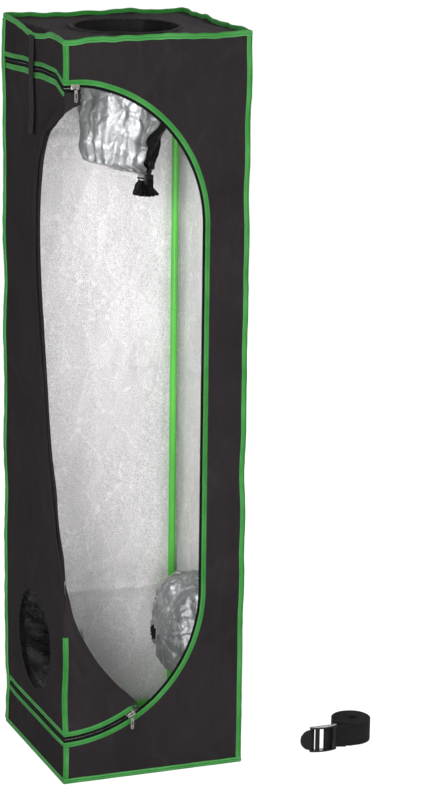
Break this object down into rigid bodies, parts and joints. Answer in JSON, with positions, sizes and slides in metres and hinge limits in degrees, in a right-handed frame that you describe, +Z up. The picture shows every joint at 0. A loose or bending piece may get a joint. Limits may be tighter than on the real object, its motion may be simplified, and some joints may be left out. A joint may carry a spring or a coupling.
{
  "type": "grow tent",
  "caption": "Tall square grow tent of black lined cloth with green edge binding on a tube frame, a wrap-round zipped door, gathered duct sleeves and a rolled strap.",
  "frame": {"origin": "middle of the tent's base, on the floor", "axes": "+Z up along the tent's height, -Y towards the front face with the door's D-shaped opening, -X towards the left wall that the door wraps on to"},
  "size_m": [0.7407, 0.4207, 1.6],
  "materials": {
    "black_cloth": "matt coated weave",
    "silver_lining": "embossed metallised film",
    "green_binding": "woven tape",
    "green_tube": "powder coat",
    "black_plastic": "fine moulded texture",
    "zip_black": "woven tape and coil",
    "nickel": "plated",
    "black_cord": "braided",
    "black_webbing": "ribbed webbing"
  },
  "bodies": {
    "tent": {"post_front_right_lower": "green_tube", "post_back_left_lower": "green_tube", "post_back_right_lower": "green_tube", "post_front_right_upper": "green_tube", "post_back_left_upper": "green_tube", "post_back_right_upper": "green_tube", "rail_base_front": "green_tube", "rail_base_back": "green_tube", "rail_base_left": "green_tube", "rail_base_right": "green_tube", "rail_top_front": "green_tube", "rail_top_back": "green_tube", "rail_top_left": "green_tube", "rail_top_right": "green_tube", "block_base_front_left": "black_plastic", "block_base_front_right": "black_plastic", "block_base_back_left": "black_plastic", "block_base_back_right": "black_plastic", "block_top_front_left": "black_plastic", "block_top_front_right": "black_plastic", "block_top_back_left": "black_plastic", "block_top_back_right": "black_plastic", "front_panel": "black_cloth", "back_wall": "black_cloth", "right_wall": "black_cloth", "left_wall": "black_cloth", "floor_panel": "silver_lining", "roof_panel": "black_cloth", "binding_front_left": "green_binding", "binding_front_right": "green_binding", "binding_back_left": "green_binding", "binding_back_right": "green_binding", "roof_binding": "green_binding", "floor_binding": "green_binding", "zip_band_frame": "green_binding", "zip_half_frame": "zip_black", "roof_sleeve": "silver_lining", "right_sleeve": "silver_lining", "roof_collar": "black_cloth", "roof_drawcord": "black_cord", "cord_lock_barrel": "black_plastic", "strap_roll": "black_webbing", "strap_buckle": "black_plastic"},
    "door": {"door_flap": "black_cloth", "door_roll": "black_cloth", "zip_band_flap": "green_binding", "zip_half_flap": "zip_black", "flap_corner_binding": "green_binding", "left_sleeve": "black_cloth"},
    "lower_slider": {"slider_lower": "nickel"},
    "upper_slider": {"slider_upper": "nickel"},
    "lower_pull": {"pull_lower": "nickel"},
    "upper_pull": {"pull_upper": "nickel"},
    "lock_button": {"cord_lock_button": "black_plastic"},
    "tie_strap": {"tie_strap": "black_webbing"},
    "front_bar": {"hanging_bar_front": "green_tube"},
    "back_bar": {"hanging_bar_back": "green_tube"}
  },
  "joints": [
    {"name": "door_swing", "type": "hinge", "parent": "tent", "child": "door", "pos_m": [-0.2025, 0.19635, 0.8], "axis": [0, 0, -1], "range_deg": [0, 68]},
    {"name": "lower_slider_run", "type": "hinge", "parent": "tent", "child": "lower_slider", "pos_m": [-0.2025, -0.2025, 0.403], "axis": [0, -1, 0], "range_deg": [0, 58]},
    {"name": "upper_slider_run", "type": "hinge", "parent": "tent", "child": "upper_slider", "pos_m": [-0.2025, -0.2025, 1.197], "axis": [0, 1, 0], "range_deg": [0, 84]},
    {"name": "lower_pull_flip", "type": "hinge", "parent": "lower_slider", "child": "lower_pull", "pos_m": [-0.051, -0.21115, 0.14059], "axis": [-1, 0, 0], "range_deg": [0, 80]},
    {"name": "upper_pull_flip", "type": "hinge", "parent": "upper_slider", "child": "upper_pull", "pos_m": [-0.18031, -0.21115, 1.49919], "axis": [-1, 0, 0], "range_deg": [0, 80]},
    {"name": "lock_button_press", "type": "slide", "parent": "tent", "child": "lock_button", "axis": [0, 0, -1], "range_m": [0, 0.0035], "stiffness_N_per_m": 400, "springref_m": -0.004},
    {"name": "tie_strap_lift", "type": "hinge", "parent": "tent", "child": "tie_strap", "pos_m": [-0.20605, 0, 1.58], "axis": [0, 1, 0], "range_deg": [0, 178.5]},
    {"name": "front_bar_slide", "type": "slide", "parent": "tent", "child": "front_bar", "axis": [0, -1, 0], "range_m": [-0.018, 0.026]},
    {"name": "back_bar_slide", "type": "slide", "parent": "tent", "child": "back_bar", "axis": [0, 1, 0], "range_m": [-0.018, 0.026]}
  ],
  "couplings": [
    {"joint": "tie_strap_lift", "follows": "door_swing", "ratio": 2.62}
  ]
}
